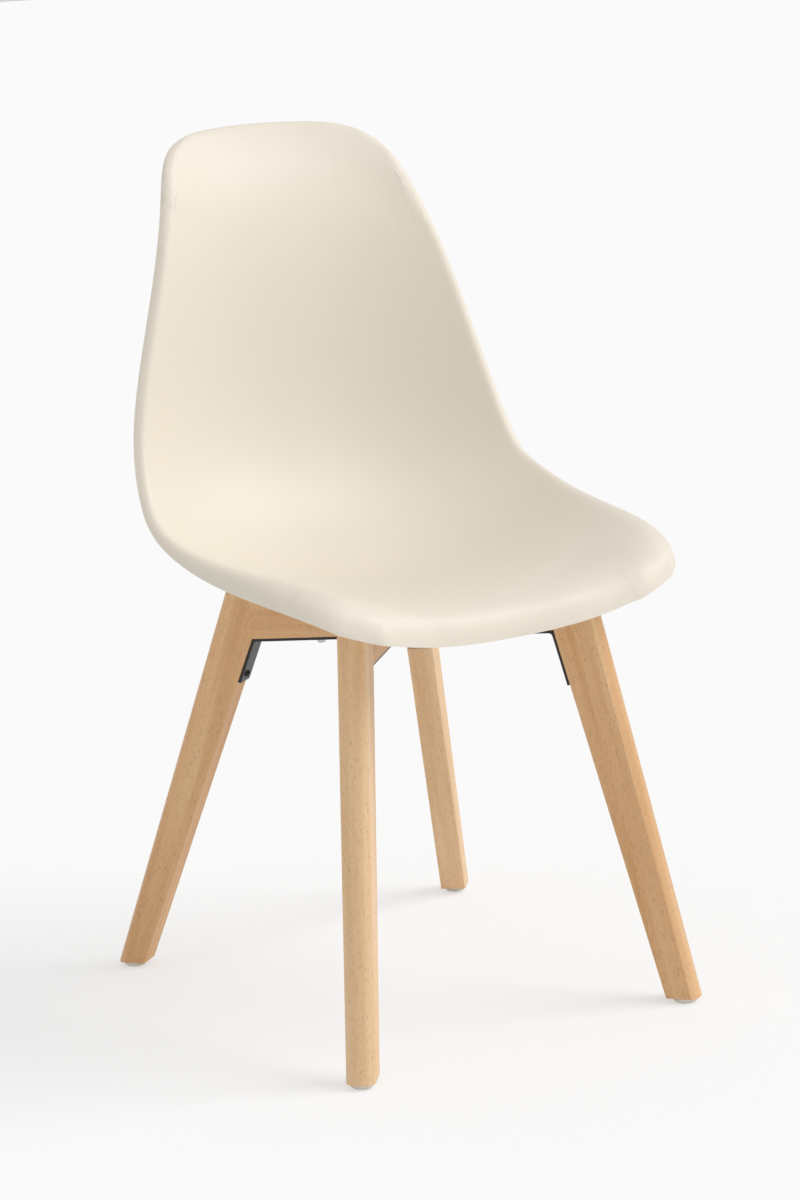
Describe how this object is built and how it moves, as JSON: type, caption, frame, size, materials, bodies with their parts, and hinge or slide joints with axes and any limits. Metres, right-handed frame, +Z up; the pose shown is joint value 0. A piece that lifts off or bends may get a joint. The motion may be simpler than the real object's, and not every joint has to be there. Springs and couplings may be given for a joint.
{
  "type": "moulded shell chair",
  "caption": "Side chair with a moulded plastic bucket shell on a crossed beech frame, tapering splayed legs and bent steel strips under the rails.",
  "frame": {"origin": "on the floor under the middle of the chair's bounding box", "axes": "+Z up, the sitter faces -Y, +X to the sitter's left"},
  "size_m": [0.4464, 0.4754, 0.8297],
  "materials": {
    "shell_plastic": "fine matt moulded polypropylene, warm cream",
    "beech": "clear matt lacquer",
    "dowel_beech": "bare",
    "black_steel": "black powder coat",
    "black_screw": "black phosphate",
    "zinc_steel": "bright zinc",
    "insert_brass": "turned",
    "glide_plastic": "milky polyethylene"
  },
  "bodies": {
    "root": {"seat_shell": "shell_plastic", "leg_front_right": "beech", "leg_front_left": "beech", "leg_rear_right": "beech", "leg_rear_left": "beech", "cross_rail_lower": "beech", "cross_rail_upper": "beech", "brace_strip_lower": "black_steel", "brace_strip_upper": "black_steel", "leg_dowels": "dowel_beech", "brace_screws": "black_screw", "seat_bolts": "zinc_steel", "bolt_washers": "zinc_steel", "shell_inserts": "insert_brass", "glide_front_right": "glide_plastic", "glide_front_left": "glide_plastic", "glide_rear_right": "glide_plastic", "glide_rear_left": "glide_plastic", "glide_nails": "zinc_steel"}
  },
  "joints": []
}
